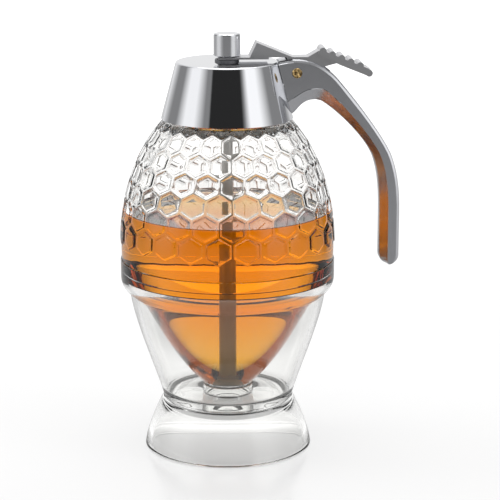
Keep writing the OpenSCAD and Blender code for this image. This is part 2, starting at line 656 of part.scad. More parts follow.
// Compression spring between the washer and the lid's ceiling
module return_spring() {
    low = spring_z + wire_r;
    high = ceiling_z - wire_r;
    per_turn = 12;
    count = spring_turns * per_turn;
    path = [for (i = [0:count]) let (a = 360 * i / per_turn)
        [spring_r * cos(a), spring_r * sin(a), low + (high - low) * i / count]];
    echo(least_gap_between_turns = min([for (i = [0:count - per_turn])
        norm(path[i + per_turn] - path[i])]) - 2 * wire_r);
    color("lightsteelblue")
    swept_tube(path, wire_r, 6);
}

module spring_washer() {
    color("silver")
    turned([[rod_r + rod_gap, washer_z], [spring_r + 1, washer_z],
            [spring_r + 1, spring_z], [rod_r + rod_gap, spring_z]]);
}

module retaining_clip() {
    color("gray")
    translate([0, 0, clip_z]) difference() {
        cylinder(r = rod_r + 1.8, h = clip_t, $fn = 64);
        translate([0, 0, -1]) cylinder(r = rod_r - groove_depth, h = clip_t + 2, $fn = 64);
        translate([0, -rod_r + 0.9, -1]) cube([rod_r + 4, 2 * rod_r - 1.8, clip_t + 2]);
    }
}

module plunger_rod() {
    color("lightgray")
    turned([[0, collar_z - 4], [stud_r, collar_z - 4], [stud_r, collar_z], [rod_r, collar_z],
            [rod_r, clip_z], [rod_r - groove_depth, clip_z], [rod_r - groove_depth, washer_z],
            [rod_r, washer_z], [rod_r, rod_top_z], [0, rod_top_z]]);
}

module knob() {
    edge_centre = [knob_r - knob_edge, knob_z + knob_h - knob_edge];
    color("silver")
    turned(concat(
        [[rod_r, knob_z], [knob_r - 0.3, knob_z], [knob_r, knob_z + 0.3]],
        arc(edge_centre, knob_edge, 0, 90),
        [[0, knob_z + knob_h], [0, rod_top_z], [rod_r, rod_top_z]]));
}

module stopper() {
    slope = (seat_top_r - seat_low_r) / seat_h;
    low_z = seat_z - 0.6;
    stud_z = collar_z - 4;
    color("whitesmoke", 0.7)
    turned(concat(
        [[0, low_z], [seat_low_r - stopper_gap - 0.6 * slope - 0.4, low_z]],
        [[seat_low_r - stopper_gap - 0.4 * slope, low_z + 0.4]],
        [[seat_top_r - stopper_gap, funnel_z]],
        bezier([seat_top_r - stopper_gap + 0.2, funnel_z + 0.5], [stopper_r, funnel_z + 1.2],
               [stopper_r, collar_z - 1.8], [collar_r, collar_z], 6),
        [[stud_r, collar_z], [stud_r, stud_z], [0, stud_z]]));
}

module stopper_collar() {
    color("silver")
    turned([[rod_r, collar_z], [collar_r, collar_z], [collar_r, collar_z + collar_h - 0.4],
            [collar_r - 0.4, collar_z + collar_h], [rod_r, collar_z + collar_h]]);
}

stand_ring();
outer_bowl();
inner_funnel();
valve_seat();
honeycomb_jar();
honey();
lid_gasket();
lid_liner();
lid_shell();
guide_bush();
handle();
handle_screws();
pivot_pin();
lever();
return_spring();
spring_washer();
retaining_clip();
plunger_rod();
knob();
stopper();
stopper_collar();
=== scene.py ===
# Honey dispenser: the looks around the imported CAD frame.
# Metres, +Z up, the jar's axis at the origin and the handle towards +X.
import json
import math

import bmesh
import bpy
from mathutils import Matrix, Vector


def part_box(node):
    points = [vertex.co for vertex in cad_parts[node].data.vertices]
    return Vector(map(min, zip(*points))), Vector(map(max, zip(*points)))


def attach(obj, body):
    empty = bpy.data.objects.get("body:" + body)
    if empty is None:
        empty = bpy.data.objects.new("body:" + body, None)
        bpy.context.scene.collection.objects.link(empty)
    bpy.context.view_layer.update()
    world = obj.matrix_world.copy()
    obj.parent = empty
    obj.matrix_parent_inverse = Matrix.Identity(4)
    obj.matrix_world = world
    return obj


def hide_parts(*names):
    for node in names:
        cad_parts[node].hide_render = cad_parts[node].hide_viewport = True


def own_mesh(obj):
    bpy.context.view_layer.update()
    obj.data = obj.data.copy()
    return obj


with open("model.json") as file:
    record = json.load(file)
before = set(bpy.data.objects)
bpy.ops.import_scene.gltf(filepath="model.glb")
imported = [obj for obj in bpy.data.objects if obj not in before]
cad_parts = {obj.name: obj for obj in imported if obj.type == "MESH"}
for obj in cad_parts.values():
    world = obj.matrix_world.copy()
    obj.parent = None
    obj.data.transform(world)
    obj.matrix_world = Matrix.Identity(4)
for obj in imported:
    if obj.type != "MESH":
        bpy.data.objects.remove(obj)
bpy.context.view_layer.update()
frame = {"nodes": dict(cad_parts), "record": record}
nodes = frame["nodes"]
print("frame loaded,", len(nodes), "nodes")


# Helpers

def linear(hexColour):
    parts = [int(hexColour[i:i + 2], 16) / 255 for i in (1, 3, 5)]
    return tuple(c / 12.92 if c <= 0.04045 else ((c + 0.055) / 1.055) ** 2.4 for c in parts) + (1.0,)


def grey(value):
    return (value, value, value, 1.0)


def setStops(ramp, stops):
    # Each stop is (position, colour), at rising positions from 0 to 1
    while len(ramp.elements) > 1:
        ramp.elements.remove(ramp.elements[0])
    ramp.elements[0].position = stops[0][0]
    for position, _ in stops[1:]:
        ramp.elements.new(position)
    for stop, (_, colour) in zip(ramp.elements, stops):
        stop.color = colour


def addNode(tree, kind, settings=None, links=None):
    # Sets attributes, socket values or a ramp's stops, then joins the named inputs to sockets
    node = tree.nodes.new(kind)
    for key, value in (settings or {}).items():
        if key == "stops":
            setStops(node.color_ramp, value)
        elif key in node.inputs.keys() or isinstance(key, int):
            node.inputs[key].default_value = value
        else:
            setattr(node, key, value)
    for key, socket in (links or {}).items():
        tree.links.new(socket, node.inputs[key])
    return node


def newMaterial(name, settings):
    material = bpy.data.materials.new(name)
    material.use_nodes = True
    tree = material.node_tree
    tree.nodes.clear()
    shader = addNode(tree, "ShaderNodeBsdfPrincipled", settings)
    out = addNode(tree, "ShaderNodeOutputMaterial", {}, {"Surface": shader.outputs[0]})
    where = addNode(tree, "ShaderNodeTexCoord")
    return material, tree, shader, where.outputs["Object"], out


def deselectAll():
    if bpy.context.object and bpy.context.object.mode != "OBJECT":
        bpy.ops.object.mode_set(mode="OBJECT")
    bpy.ops.object.select_all(action="DESELECT")


def editPicked(mesh, kind, picked):
    # Enters edit mode with only these vertices or edges selected
    for item in (*mesh.polygons, *mesh.edges, *mesh.vertices):
        item.select = False
    for item in picked:
        item.select = True
    bpy.context.tool_settings.mesh_select_mode = (kind == "VERT", kind == "EDGE", False)
    bpy.ops.object.mode_set(mode="EDIT")


def bezier(a, b, c, d, n=32):
    points = []
    for i in range(n + 1):
        t = i / n
        weights = ((1 - t) ** 3, 3 * t * (1 - t) ** 2, 3 * t * t * (1 - t), t ** 3)
        points.append(tuple(sum(w * p[k] for w, p in zip(weights, (a, b, c, d))) for k in (0, 1)))
    return points


def shifted(curve, distance):
    moved = []
    for i, point in enumerate(curve):
        ahead, behind = curve[min(i + 1, len(curve) - 1)], curve[max(i - 1, 0)]
        run = Vector((ahead[0] - behind[0], ahead[1] - behind[1])).normalized()
        moved.append((point[0] - distance * run.y, point[1] + distance * run.x))
    return moved


def turnedPiece(name, outline, steps=144, rounding=0.3, sharpest=28):
    # A closed outline of (radius, height) in millimetres, its corners rounded, spun round the jar's axis
    deselectAll()
    bpy.ops.mesh.primitive_circle_add(vertices=len(outline), radius=0.01)
    piece = bpy.context.object
    piece.name = piece.data.name = name
    mesh = piece.data
    for vertex, (radius, height) in zip(mesh.vertices, outline):
        vertex.co = (radius / 1000, 0, height / 1000)
    corners = []
    for i, vertex in enumerate(mesh.vertices):
        before = Vector(outline[i]) - Vector(outline[i - 1])
        after = Vector(outline[(i + 1) % len(outline)]) - Vector(outline[i])
        if math.degrees(abs(before.angle_signed(after, 0))) > sharpest and outline[i][0] > 0.01:
            corners.append(vertex)
    editPicked(mesh, "VERT", corners)
    if rounding:
        bpy.ops.mesh.bevel(offset=rounding / 1000, segments=4, affect="VERTICES")
    bpy.ops.mesh.select_all(action="SELECT")
    bpy.ops.mesh.spin(steps=steps, angle=2 * math.pi, center=(0, 0, 0), axis=(0, 0, 1))
    bpy.ops.mesh.select_all(action="SELECT")
    bpy.ops.mesh.remove_doubles(threshold=0.000004)
    bpy.ops.mesh.dissolve_degenerate(threshold=0.000001)
    bpy.ops.mesh.normals_make_consistent(inside=False)
    bpy.ops.object.mode_set(mode="OBJECT")
    bpy.ops.object.shade_smooth_by_angle(angle=math.radians(35))
    return piece


def dress(piece, slotName, body, replaced):
    # Gives a new piece its finish, the body that it moves with and the CAD node that it stands for
    piece.data.materials.clear()
    piece.data.materials.append(finishes[slotName])
    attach(piece, body)
    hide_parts(replaced)


# Materials. A pattern's scale is its repeats per metre, and its material's comment says what size that makes

def acrylic(name, shows):
    # Injection-moulded clear acrylic: polished, hardly tinted, with the faint flow waves of a mould, 14 mm apart.
    # Where honey wets it nothing shows, because honey bends light as acrylic does
    material, tree, shader, where, _ = newMaterial(name, {
        "Base Color": linear("#fdfdfc"), "Roughness": 0.0, "IOR": 1.49, "Transmission Weight": 1.0, "Alpha": shows})
    waves = addNode(tree, "ShaderNodeTexNoise", {"Scale": 70.0, "Detail": 1.0}, {"Vector": where})
    bump = addNode(tree, "ShaderNodeBump", {"Strength": 0.05, "Distance": 0.0004}, {"Height": waves.outputs[0]})
    tree.links.new(bump.outputs[0], shader.inputs["Normal"])
    return material


def honeyLiquid(h):
    # Clear amber honey: red passes, blue is taken up within a few millimetres
    material, tree, shader, where, out = newMaterial("clearHoney", {
        "Base Color": linear("#ffffff"), "Roughness": 0.0, "IOR": h["bending"], "Transmission Weight": 1.0})
    # Only the free surface on top bends light: the sides touch acrylic, which bends it as much
    height = addNode(tree, "ShaderNodeSeparateXYZ", {}, {0: where})
    free = addNode(tree, "ShaderNodeMath", {"operation": "GREATER_THAN", 1: (h["surface"] - h["skin"]) / 1000},
                   {0: height.outputs["Z"]})
    bending = addNode(tree, "ShaderNodeMapRange", {"To Min": h["sideBending"], "To Max": h["bending"]},
                      {"Value": free.outputs[0]})
    tree.links.new(bending.outputs[0], shader.inputs["IOR"])
    takenUp = addNode(tree, "ShaderNodeVolumeAbsorption", {"Color": linear(h["amber"]), "Density": h["density"]})
    tree.links.new(takenUp.outputs[0], out.inputs["Volume"])
    return material


def chromePlate():
    # Bright chrome on a turned steel shell: a clean mirror with a trace of wiping haze in patches of 22 mm
    material, tree, shader, where, _ = newMaterial("brightChromePlate", {
        "Base Color": linear("#d9dadd"), "Metallic": 1.0, "Roughness": 0.04})
    haze = addNode(tree, "ShaderNodeTexNoise", {"Scale": 45.0, "Detail": 4.0}, {"Vector": where})
    rough = addNode(tree, "ShaderNodeMapRange",
                    {"From Min": 0.35, "From Max": 0.75, "To Min": 0.03, "To Max": 0.07},
                    {"Value": haze.outputs[0]})
    tree.links.new(rough.outputs[0], shader.inputs["Roughness"])
    return material


def chromedCasting():
    # Die-cast zinc, polished and chromed: a darker mirror, soft over the casting's low waves, 11 mm apart
    material, tree, shader, where, _ = newMaterial("chromedZincCasting", {
        "Base Color": linear("#cdced2"), "Metallic": 1.0, "Roughness": 0.2})
    waves = addNode(tree, "ShaderNodeTexNoise", {"Scale": 90.0, "Detail": 2.0}, {"Vector": where})
    bump = addNode(tree, "ShaderNodeBump", {"Strength": 0.12, "Distance": 0.0003}, {"Height": waves.outputs[0]})
    rough = addNode(tree, "ShaderNodeMapRange", {"To Min": 0.16, "To Max": 0.26}, {"Value": waves.outputs[0]})
    tree.links.new(bump.outputs[0], shader.inputs["Normal"])
    tree.links.new(rough.outputs[0], shader.inputs["Roughness"])
    return material


def satinCasting():
    # Die-cast zinc with a satin nickel finish: grey, with a grain drawn coarser than it is, at 0.6 mm, to show
    material, tree, shader, where, _ = newMaterial("satinZincCasting", {
        "Base Color": linear("#cfcfd1"), "Metallic": 1.0, "Roughness": 0.42})
    grain = addNode(tree, "ShaderNodeTexNoise", {"Scale": 1600.0, "Detail": 2.0}, {"Vector": where})
    bump = addNode(tree, "ShaderNodeBump", {"Strength": 0.15, "Distance": 0.00005}, {"Height": grain.outputs[0]})
    rough = addNode(tree, "ShaderNodeMapRange", {"To Min": 0.38, "To Max": 0.48}, {"Value": grain.outputs[0]})
    tree.links.new(bump.outputs[0], shader.inputs["Normal"])
    tree.links.new(rough.outputs[0], shader.inputs["Roughness"])
    return material


def drawnSteel():
    # Cold-drawn stainless steel: lines along the rod, 17 mm long and drawn 0.25 mm apart to show, not 0.05 mm
    material, tree, shader, where, _ = newMaterial("drawnStainlessSteel", {
        "Base Color": linear("#b9b7b4"), "Metallic": 1.0, "Roughness": 0.36})
    along = addNode(tree, "ShaderNodeMapping", {"Scale": (4000.0, 4000.0, 60.0)}, {"Vector": where})
    lines = addNode(tree, "ShaderNodeTexNoise", {"Scale": 1.0, "Detail": 2.0}, {"Vector": along.outputs[0]})
    bump = addNode(tree, "ShaderNodeBump", {"Strength": 0.1, "Distance": 0.00005}, {"Height": lines.outputs[0]})
    rough = addNode(tree, "ShaderNodeMapRange", {"To Min": 0.3, "To Max": 0.42}, {"Value": lines.outputs[0]})
    tree.links.new(bump.outputs[0], shader.inputs["Normal"])
    tree.links.new(rough.outputs[0], shader.inputs["Roughness"])
    return material


def rolledBrass():
    # Brass rivet end, rolled over by a toothed tool that leaves dimples 1.3 mm apart
    material, tree, shader, where, _ = newMaterial("rolledBrass", {
        "Base Color": linear("#b08a4c"), "Metallic": 1.0, "Roughness": 0.3})
    dimples = addNode(tree, "ShaderNodeTexVoronoi", {"Scale": 750.0}, {"Vector": where})
    bump = addNode(tree, "ShaderNodeBump", {"Strength": 1.0, "Distance": 0.0008}, {"Height": dimples.outputs[0]})
    tint = addNode(tree, "ShaderNodeValToRGB", {"stops": [(0.25, linear("#4c3a20")), (0.6, linear("#c9ab77"))]},
                   {"Fac": dimples.outputs[0]})
    tree.links.new(bump.outputs[0], shader.inputs["Normal"])
    tree.links.new(tint.outputs[0], shader.inputs["Base Color"])
    return material


def mouldedPlastic(name, low, high):
    # Moulded polypropylene or nylon: an even satin skin with a light orange-peel of 1.1 mm
    material, tree, shader, where, _ = newMaterial(name, {
        "Base Color": linear(low), "Roughness": 0.42, "IOR": 1.5})
    peel = addNode(tree, "ShaderNodeTexNoise", {"Scale": 900.0, "Detail": 2.0}, {"Vector": where})
    bump = addNode(tree, "ShaderNodeBump", {"Strength": 0.1, "Distance": 0.0001}, {"Height": peel.outputs[0]})
    tint = addNode(tree, "ShaderNodeValToRGB", {"stops": [(0.0, linear(low)), (1.0, linear(high))]},
                   {"Fac": peel.outputs[0]})
    tree.links.new(bump.outputs[0], shader.inputs["Normal"])
    tree.links.new(tint.outputs[0], shader.inputs["Base Color"])
    return material


def siliconeRubber(name, bending, clarity):
    # Moulded food-grade silicone: milky, with a satin skin that varies over 1.4 mm, it takes the honey's tint from
    # behind. In honey, which bends light nearly as much, its edge hardly shows
    material, tree, shader, where, _ = newMaterial(name, {
        "Base Color": linear("#f3eee2"), "Roughness": 0.3, "IOR": bending, "Transmission Weight": clarity})
    skin = addNode(tree, "ShaderNodeTexNoise", {"Scale": 700.0, "Detail": 2.0}, {"Vector": where})
    rough = addNode(tree, "ShaderNodeMapRange", {"To Min": 0.25, "To Max": 0.4}, {"Value": skin.outputs[0]})
    tree.links.new(rough.outputs[0], shader.inputs["Roughness"])
    return material


# Millimetres: the honey's sides lie a little inside the acrylic, it climbs the wall at its edge,
# and what lies less than "skin" under its surface is free. The density is per metre

honey = {"surface": 113.0, "bottom": 32.6, "overlap": 0.12, "climb": 0.8, "skin": 0.05,
         "bending": 1.49, "sideBending": 1.01, "amber": "#fce01e", "density": 63.75}

finishes = {
    "clear_acrylic": acrylic("mouldedClearAcrylic", 1.0),
    "honey": honeyLiquid(honey),
    "chrome_plate": chromePlate(),
    "chromed_casting": chromedCasting(),
    "satin_casting": satinCasting(),
    "stainless_steel": drawnSteel(),
    "brass": rolledBrass(),
    "silicone": siliconeRubber("translucentSilicone", 1.41, 0.9),
    "white_plastic": mouldedPlastic("whitePolypropylene", "#dcdad5", "#efeeea"),
    "grey_plastic": mouldedPlastic("greyNylon", "#55565a", "#6b6c70"),
}
print("materials made:", len(finishes))

for part in frame["record"]["subparts"]:
    node = nodes[part["node"]]
    node.data.materials.clear()
    node.data.materials.append(finishes[part["material_slot"]])

wettedAcrylic = acrylic("honeyWettedAcrylic", 0.0)
nodes["stopper"].data.materials[0] = siliconeRubber("honeyWettedSilicone", 1.05, 0.35)

# Stand: the loose ring that the jar drops into

stand = {"height": 23.4, "footRadius": 39.3, "rimRadius": 30.8, "wall": 3.2, "seatRadius": 29.5,
         "seatDepth": 1.8, "ledgeRadius": 26.1}


def makeStand(s):
    top, foot, ledge = s["height"], s["footRadius"], s["ledgeRadius"]
    outside = bezier((s["rimRadius"], top), (s["rimRadius"] + 3.4, top * 0.7), (foot - 1.1, top * 0.34), (foot, 0))
    inside = bezier((foot - s["wall"], 0), (foot - s["wall"] - 0.8, top * 0.34),
                    (ledge + 4.4, top * 0.62), (ledge, top - s["seatDepth"] - 3.2))
    seat = top - s["seatDepth"]
    return turnedPiece("stand", [(s["seatRadius"], top)] + outside + inside + [(ledge, seat), (s["seatRadius"], seat)])


dress(makeStand(stand), "clear_acrylic", "stand", "stand_ring")

# Bowl and funnel

bowl = {"foot": 21.6, "rim": 90.5, "bandRadius": 49.9, "bandHeight": 8.5, "wallTop": 45.7, "waist": 30.3,
        "footRadius": 29.2, "wall": 2.4, "floor": 5.0, "grooveRadius": 48.35, "ledge": 82.5, "ledgeRadius": 46.0,
        "neckHole": 11.75}
funnel = {"topRadius": 46.0, "neckRadius": 11.7, "neckWall": 1.5, "floor": 32.7, "floorThickness": 3.3,
          "wall": 1.8, "seatRadius": 7.0, "seat": 30.4, "foot": 21.6, "flange": 82.5, "flangeRadius": 48.3,
          "top": 85.0}


def makeBowl(b):
    low = b["rim"] - b["bandHeight"]
    height = b["rim"] - b["foot"]
    wall = bezier((b["wallTop"], low - 7.2), (b["wallTop"] - 1.8, b["foot"] + height * 0.56),
                  (b["waist"] + 3.9, b["foot"] + height * 0.24), (b["waist"], b["foot"] + 2.6), 40)
    inside = [p for p in shifted(wall, -b["wall"]) if p[1] > b["foot"] + b["floor"] + 3]
    endX = inside[-1][0]
    floorArc = bezier(inside[-1], (endX - 0.5, b["foot"] + b["floor"] + 1.2), (endX - 1.4, b["foot"] + b["floor"]),
                      (endX - 3.4, b["foot"] + b["floor"]), 10)
    band = bezier((b["bandRadius"], low), (b["bandRadius"] - 0.2, low - 3.6), (b["wallTop"] + 2.2, low - 5.4),
                  (b["wallTop"], low - 7.2), 16)
    outline = [(b["grooveRadius"], b["rim"]), (b["grooveRadius"], b["ledge"]), (b["ledgeRadius"], b["ledge"])]
    outline += inside + floorArc[1:] + [(b["neckHole"], b["foot"] + b["floor"]), (b["neckHole"], b["foot"])]
    outline += [(b["footRadius"], b["foot"]), (b["footRadius"], b["foot"] + 2.1)]
    outline += wall[::-1] + band[::-1][1:] + [(b["bandRadius"], b["rim"])]
    return turnedPiece("bowl", outline)


def funnelWall(f):
    return bezier((f["topRadius"], f["flange"]), (f["topRadius"] - 7.5, f["flange"] - 12.5),
                  (f["neckRadius"] + 16.3, f["floor"] + 12.3), (f["neckRadius"], f["floor"] - 1.5), 44)


def makeFunnel(f):
    inside = [p for p in shifted(funnelWall(f), -f["wall"]) if p[1] > f["floor"] + 0.3]
    bore = f["neckRadius"] - f["neckWall"]
    outline = [(f["flangeRadius"], f["top"]), (f["flangeRadius"], f["flange"])] + funnelWall(f)
    outline += [(f["neckRadius"], f["foot"]), (bore, f["foot"]), (bore, f["floor"] - f["floorThickness"])]
    outline += [(f["seatRadius"] - 1.4, f["floor"] - f["floorThickness"]), (f["seatRadius"] - 1.4, f["seat"])]
    outline += [(f["seatRadius"], f["seat"]), (f["seatRadius"], f["floor"]), (inside[-1][0] - 1, f["floor"])]
    return turnedPiece("funnel", outline + inside[::-1] + [(f["topRadius"], f["top"])])


dress(makeBowl(bowl), "clear_acrylic", "jar", "outer_bowl")
dress(makeFunnel(funnel), "clear_acrylic", "jar", "inner_funnel")
print("stand, bowl and funnel turned")

# Honeycomb bell: one pad is modelled flat, copied over a sheet, and the sheet is wrapped round the bell.
# The honey wets its wall and the funnel's, so the honey's skin lies just inside the acrylic's inner face

# Millimetres. shoulderRow and hem are places in rows, counted from the lowest row
bell = {"widest": 49.5, "widestHeight": 97.0, "halfHeight": 72.448, "wall": 2.6, "rim": 90.5, "shoulder": 155.5,
        "neckRadius": 24.0, "neckTop": 164.5, "spigotRadius": 48.3, "spigot": 85.0,
        "cells": 24, "rows": 7, "firstRow": 14.1, "shoulderRow": 5.9, "rowPitch": 9.852, "rowLoss": 0.5,
        "padRise": 0.6, "groove": 1.3, "bevel": 0.7, "hem": -0.9, "skirt": (93, 91)}


def bellRadius(height, inset=0.0):
    b = bell
    share = (height - b["widestHeight"]) / (b["halfHeight"] - inset)
    return (b["widest"] - inset) * math.sqrt(max(0.0, 1 - share * share))


def rowHeight(row):
    return bell["rim"] + bell["firstRow"] + bell["rowPitch"] * row - bell["rowLoss"] * row * (row - 1) / 2


def makePad(b):
    # One hexagon in sheet units: a cell is 1 wide, the rows are 1 apart, and the relief is in metres
    deselectAll()
    bpy.ops.mesh.primitive_circle_add(vertices=6, radius=1, fill_type="NGON")
    pad = bpy.context.object
    pad.name = "padCell"
    bpy.ops.object.mode_set(mode="EDIT")
    bpy.ops.mesh.select_all(action="SELECT")
    halfWidth = 0.8660254       # from the middle of a hexagon of radius 1 to its side
    bpy.ops.transform.resize(value=(0.5 / halfWidth, 2 / 3, 1), center_override=(0, 0, 0))
    halfPad = math.pi * b["widest"] / b["cells"]
    foot = 1 - b["groove"] / 2 / halfPad
    top = foot - b["bevel"] / halfPad
    rings = [(foot, 0.0), (foot - (foot - top) * 0.3, 0.18), (foot - (foot - top) * 0.7, 0.82), (top, 1.0)]
    current, risen = 1.0, 0.0
    for scale, share in rings + [(top * 0.7, 1.0), (top * 0.35, 1.0)]:
        bpy.ops.mesh.inset(thickness=0.0001)
        bpy.ops.transform.resize(value=(scale / current, scale / current, 1), center_override=(0, 0, 0))
        bpy.ops.transform.translate(value=(0, 0, (share - risen) * b["padRise"] / 1000))
        current, risen = scale, share
    bpy.ops.mesh.poke()
    bpy.ops.object.mode_set(mode="OBJECT")
    points = [v.co for v in pad.data.vertices]
    rounds = []     # only the edges that run round the pad are divided
    for edge in pad.data.edges:
        a, c = points[edge.vertices[0]], points[edge.vertices[1]]
        if abs(a.x * c.y - a.y * c.x) > 0.001:
            rounds.append(edge)
    editPicked(pad.data, "EDGE", rounds)
    bpy.ops.mesh.subdivide(number_cuts=4)
    bpy.ops.object.mode_set(mode="OBJECT")
    return pad


def carryLoop(piece, outline):
    # Extrudes the selected loop of edges through a list of (radius, height), each point keeping its azimuth
    for radius, height in outline:
        bpy.ops.mesh.extrude_edges_move()
        sheet = bmesh.from_edit_mesh(piece.data)
        for vertex in sheet.verts:
            if vertex.select:
                flat = math.hypot(vertex.co.x, vertex.co.y)
                vertex.co = (vertex.co.x * radius / 1000 / flat, vertex.co.y * radius / 1000 / flat, height / 1000)
        bmesh.update_edit_mesh(piece.data)


def selectRim(piece, low, high, axis=2):
    # Selects the open edges between two heights: metres along Z, or sheet units along Y before the wrap
    bpy.ops.object.mode_set(mode="OBJECT")
    mesh = piece.data
    sides = {}
    for face in mesh.polygons:
        for key in face.edge_keys:
            sides[key] = sides.get(key, 0) + 1
    rim = []
    for edge in mesh.edges:
        if sides.get(edge.key, 0) == 1:
            heights = [mesh.vertices[v].co[axis] for v in edge.vertices]
            if min(heights) > low and max(heights) < high:
                rim.append(edge)
    editPicked(mesh, "EDGE", rim)


def makeBell(b):
    pad = makePad(b)
    rowPieces = []
    for row in range(b["rows"]):
        deselectAll()
        pad.select_set(True)
        bpy.context.view_layer.objects.active = pad
        bpy.ops.object.duplicate()
        copy = bpy.context.object
        copy.location = (0.5 if row % 2 == 0 else 0.0, row, 0)      # every other row lies half a cell along
        array = copy.modifiers.new("cells", "ARRAY")
        array.count = b["cells"]
        array.use_relative_offset = False
        array.use_constant_offset = True
        array.constant_offset_displace = (1, 0, 0)
        bpy.ops.object.modifier_apply(modifier="cells")
        rowPieces.append(copy)
    bpy.data.objects.remove(pad)
    deselectAll()
    for piece in rowPieces:
        piece.select_set(True)
    bpy.context.view_layer.objects.active = rowPieces[0]
    bpy.ops.object.join()
    bpy.ops.object.transform_apply(location=True)
    sheet = bpy.context.object
    sheet.name = sheet.data.name = "honeycombBell"
    bpy.ops.object.mode_set(mode="EDIT")
    bpy.ops.mesh.select_all(action="SELECT")
    bpy.ops.mesh.remove_doubles(threshold=0.002)
    bpy.ops.mesh.select_all(action="SELECT")
    bpy.ops.mesh.bisect(plane_co=(0, b["shoulderRow"], 0), plane_no=(0, 1, 0), clear_outer=True)
    selectRim(sheet, -0.7, -0.33, axis=1)   # the zigzag under the lowest row is drawn down to a level edge
    bpy.ops.mesh.extrude_edges_move()
    edit = bmesh.from_edit_mesh(sheet.data)
    for vertex in edit.verts:
        if vertex.select:
            vertex.co.y = b["hem"]
    bmesh.update_edit_mesh(sheet.data)
    bpy.ops.object.mode_set(mode="OBJECT")
    for vertex in sheet.data.vertices:  # the wrap
        turn = 2 * math.pi * vertex.co.x / b["cells"]
        height = rowHeight(vertex.co.y)
        radius = bellRadius(height) / 1000 + vertex.co.z
        vertex.co = (radius * math.cos(turn), radius * math.sin(turn), height / 1000)
    bpy.ops.object.mode_set(mode="EDIT")
    bpy.ops.mesh.select_all(action="SELECT")
    bpy.ops.mesh.remove_doubles(threshold=0.00002)
    neck, wall, top = b["neckRadius"], b["wall"], b["neckTop"]
    selectRim(sheet, (b["shoulder"] - 1) / 1000, (b["shoulder"] + 1) / 1000)    # the open top
    carryLoop(sheet, [(neck + 0.6, b["shoulder"]), (neck, b["shoulder"] + 0.6), (neck, top - 0.5),
                      (neck - 0.5, top), (neck - wall + 0.3, top), (neck - wall, top - 0.3),
                      (neck - wall, b["shoulder"] - 1)])
    selectRim(sheet, 0.090, 0.097)          # the level edge under the lowest row
    low, level, high = b["spigot"] + 0.4, honey["surface"] + honey["climb"], b["shoulder"] - 3.4
    heights = [low + (level - low) * i / 8 for i in range(8)] + [level + (high - level) * i / 10 for i in range(11)]
    inner = [(bellRadius(height, wall), height) for height in heights]
    outer = [(bellRadius(height), height) for height in (*b["skirt"], b["rim"] + 0.3)]
    carryLoop(sheet, outer + [(b["spigotRadius"] + 0.2, b["rim"] + 0.3), (b["spigotRadius"], b["rim"] + 0.1),
                              (b["spigotRadius"], b["spigot"] + 0.3), (b["spigotRadius"] - 0.3, b["spigot"]),
                              (inner[0][0] + 0.3, b["spigot"])] + inner)
    selectRim(sheet, 0.140, 0.160)          # the ends of both walls inside the shoulder
    bpy.ops.mesh.bridge_edge_loops()
    bpy.ops.mesh.select_all(action="SELECT")
    bpy.ops.mesh.normals_make_consistent(inside=False)
    bpy.ops.object.mode_set(mode="OBJECT")
    bpy.ops.object.shade_smooth_by_angle(angle=math.radians(42))
    return sheet


dress(makeBell(bell), "clear_acrylic", "jar", "honeycomb_jar")
print("honeycomb bell wrapped")


def honeyOutline(h):
    top = h["surface"]
    edge = bellRadius(top, bell["wall"])
    outline = [(0, h["bottom"]), (0, top), (edge - 3.5, top), (edge - 1.8, top + 0.08),
               (edge - 0.7, top + h["climb"] * 0.35), (edge - 0.15, top + h["climb"])]
    for i in range(25):
        height = top + h["climb"] - (top + h["climb"] - bell["spigot"]) * i / 24
        outline.append((bellRadius(height, bell["wall"]) + h["overlap"], height))
    wall = [p for p in shifted(funnelWall(funnel), -funnel["wall"] + h["overlap"]) if p[1] > h["bottom"] + 0.6]
    return outline + wall + [(wall[-1][0] - 1, h["bottom"])]


def isInside(radius, height, outline):
    # A point is inside when an odd number of the outline's sides lie outwards of it
    inside = False
    for (r0, z0), (r1, z1) in zip(outline, outline[1:] + outline[:1]):
        if (z0 > height) != (z1 > height) and radius < r0 + (r1 - r0) * (height - z0) / (z1 - z0):
            inside = not inside
    return inside


def wetFaces(piece, outlines):
    # Faces of the acrylic inside the honey, or in its film between rim and spigot, show no gloss of their own
    piece.data.materials.append(wettedAcrylic)
    for face in piece.data.polygons:
        radius, height = math.hypot(face.center.x, face.center.y) * 1000, face.center.z * 1000
        face.material_index = int(any(isInside(radius, height, outline) for outline in outlines))


# Millimetres: where the joint between the bowl's rim and the bell's spigot is wet
film = {"inner": 48.1, "outer": 48.5, "low": 82.2, "high": 90.2}

pouredOutline = honeyOutline(honey)
filmOutline = [(film["inner"], film["low"]), (film["outer"], film["low"]), (film["outer"], film["high"]),
               (film["inner"], film["high"])]
dress(turnedPiece("honeyBody", pouredOutline, rounding=0), "honey", "jar", "honey")
for name, outlines in (("honeycombBell", [pouredOutline, filmOutline]), ("funnel", [pouredOutline, filmOutline]),
                       ("bowl", [filmOutline])):
    wetFaces(bpy.data.objects[name], outlines)
print("honey poured")


# Castings: the CAD solids with their sharp edges broken, as a die and a polisher leave them.
# Millimetres for width, side and lines; degrees for the edges that are broken and those that stay smooth

leverCasting = {"width": 0.25, "sharpest": 28, "smooth": 32}
handleCasting = {"width": 0.3, "sharpest": 11, "smooth": 24,
                 "side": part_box("handle")[1][1] * 1000, "lineWidth": 0.2, "lineRise": 0.12}


